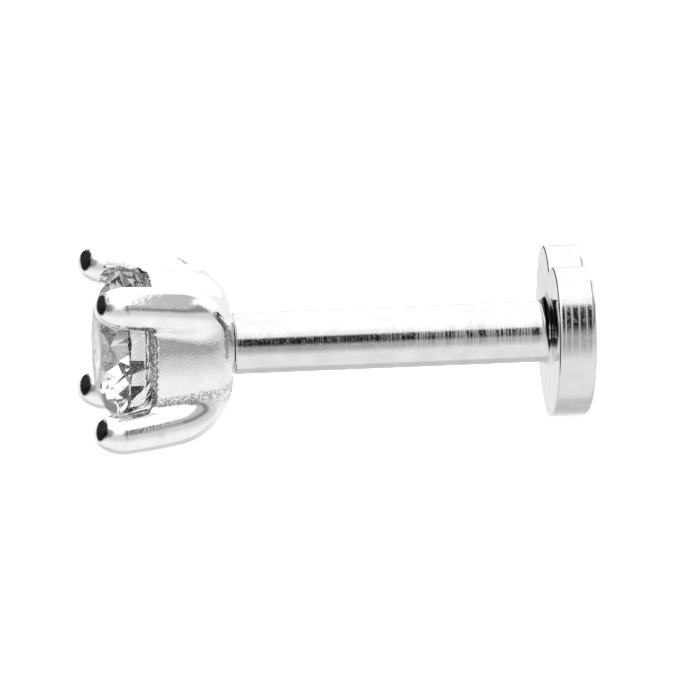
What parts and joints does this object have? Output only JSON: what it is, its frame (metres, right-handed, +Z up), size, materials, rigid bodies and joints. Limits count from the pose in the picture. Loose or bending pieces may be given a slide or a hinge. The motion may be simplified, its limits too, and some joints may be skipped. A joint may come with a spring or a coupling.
{
  "type": "labret stud",
  "caption": "Flat-back labret stud: round clear stone in a claw cup, on a straight post with a heart-shaped back disc.",
  "frame": {"origin": "on the surface that the stud lies on, midway along its length, below its axis", "axes": "+X along the stud's axis from the stone to the heart, +Y across, +Z up through the notch of the heart"},
  "size_m": [0.0098, 0.0034, 0.0034],
  "materials": {
    "stone": "polished facets",
    "setting_metal": "polished casting with fine pits",
    "post_metal": "turned and polished"
  },
  "bodies": {
    "root": {"round_stone": "stone", "claw_setting": "setting_metal", "heart_back_post": "post_metal"}
  },
  "joints": []
}
